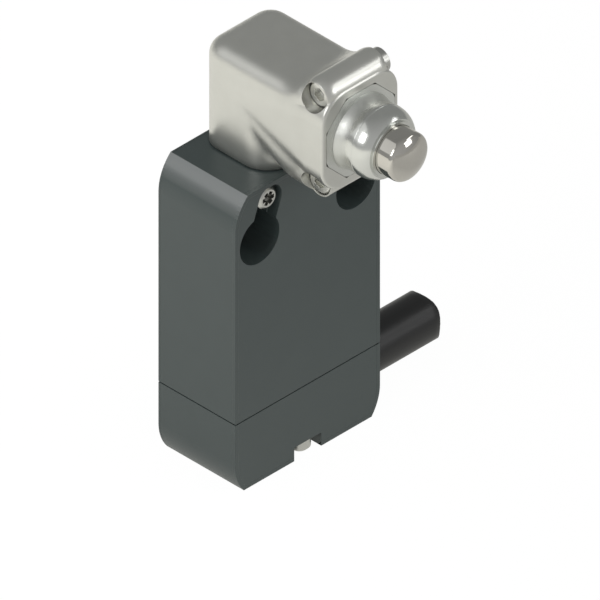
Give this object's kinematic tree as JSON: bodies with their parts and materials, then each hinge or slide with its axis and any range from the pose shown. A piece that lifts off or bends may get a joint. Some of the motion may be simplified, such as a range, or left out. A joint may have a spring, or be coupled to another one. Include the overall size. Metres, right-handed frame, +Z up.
{
  "type": "plunger limit switch",
  "caption": "Narrow prewired limit switch: dark case with keyhole screw recesses, angled metal head turning on top, and a side steel plunger in a turned collar.",
  "frame": {"origin": "midway between the two fixing holes, on the flat back face of the case", "axes": "+Z up towards the head, +X towards the side the cable leaves, +Y out of the back face; the plunger points to -Y"},
  "size_m": [0.0474, 0.0383, 0.0742],
  "materials": {
    "case_plastic": "satin",
    "seal_rubber": "matte",
    "screw_steel": "satin",
    "socket_steel": "satin",
    "insulating_plastic": "matte",
    "spring_steel": "satin",
    "contact_brass": "satin",
    "cable_sheath": "satin",
    "core_1": "satin",
    "core_2": "satin",
    "core_3": "satin",
    "core_4": "satin",
    "core_5": "satin",
    "copper": "satin",
    "cast_metal": "satin",
    "polished_metal": "polished",
    "plunger_steel": "polished",
    "drive_plastic": "satin"
  },
  "bodies": {
    "case": {"bottom_cap": "case_plastic", "cable_clamp": "insulating_plastic", "cable_core_1": "core_1", "cable_core_2": "core_2", "cable_core_3": "core_3", "cable_core_4": "core_4", "cable_core_5": "core_5", "cable_sheath": "cable_sheath", "cap_gasket": "seal_rubber", "cap_screw_front": "screw_steel", "cap_screw_rear": "screw_steel", "closed_contact_left": "contact_brass", "closed_contact_right": "contact_brass", "conductor_1": "copper", "conductor_2": "copper", "conductor_3": "copper", "conductor_4": "copper", "conductor_5": "copper", "contact_block": "insulating_plastic", "contact_cover": "insulating_plastic", "contact_spring": "spring_steel", "housing": "case_plastic", "lock_screw_left": "screw_steel", "lock_screw_right": "screw_steel", "open_contact_left": "contact_brass", "open_contact_right": "contact_brass"},
    "head": {"head_housing": "cast_metal", "head_seal": "seal_rubber", "plunger_guide": "polished_metal", "wiper_seal": "seal_rubber", "clamp_screw_upper": "socket_steel", "clamp_screw_lower": "socket_steel", "clamp_nut_upper": "screw_steel", "clamp_nut_lower": "screw_steel", "plunger_spring": "spring_steel"},
    "plunger": {"plunger": "plunger_steel", "plunger_tail": "drive_plastic"},
    "pusher": {"pusher_rod": "drive_plastic", "contact_carrier": "insulating_plastic", "contact_bridge": "contact_brass"}
  },
  "joints": [
    {"name": "head_turn", "type": "hinge", "parent": "case", "child": "head", "pos_m": [0, -0.008, 0.0091], "axis": [0, 0, 1], "range_deg": [-180, 180]},
    {"name": "plunger_press", "type": "slide", "parent": "head", "child": "plunger", "axis": [0, 1, 0], "range_m": [0, 0.0038], "stiffness_N_per_m": 1000, "springref_m": -0.004, "deforming": ["plunger_spring"]},
    {"name": "pusher_drop", "type": "slide", "parent": "case", "child": "pusher", "axis": [0, 0, -1], "range_m": [0, 0.0023], "stiffness_N_per_m": 300, "springref_m": -0.003, "deforming": ["contact_spring"]}
  ],
  "couplings": [
    {"joint": "pusher_drop", "follows": "plunger_press", "ratio": 0.6}
  ]
}
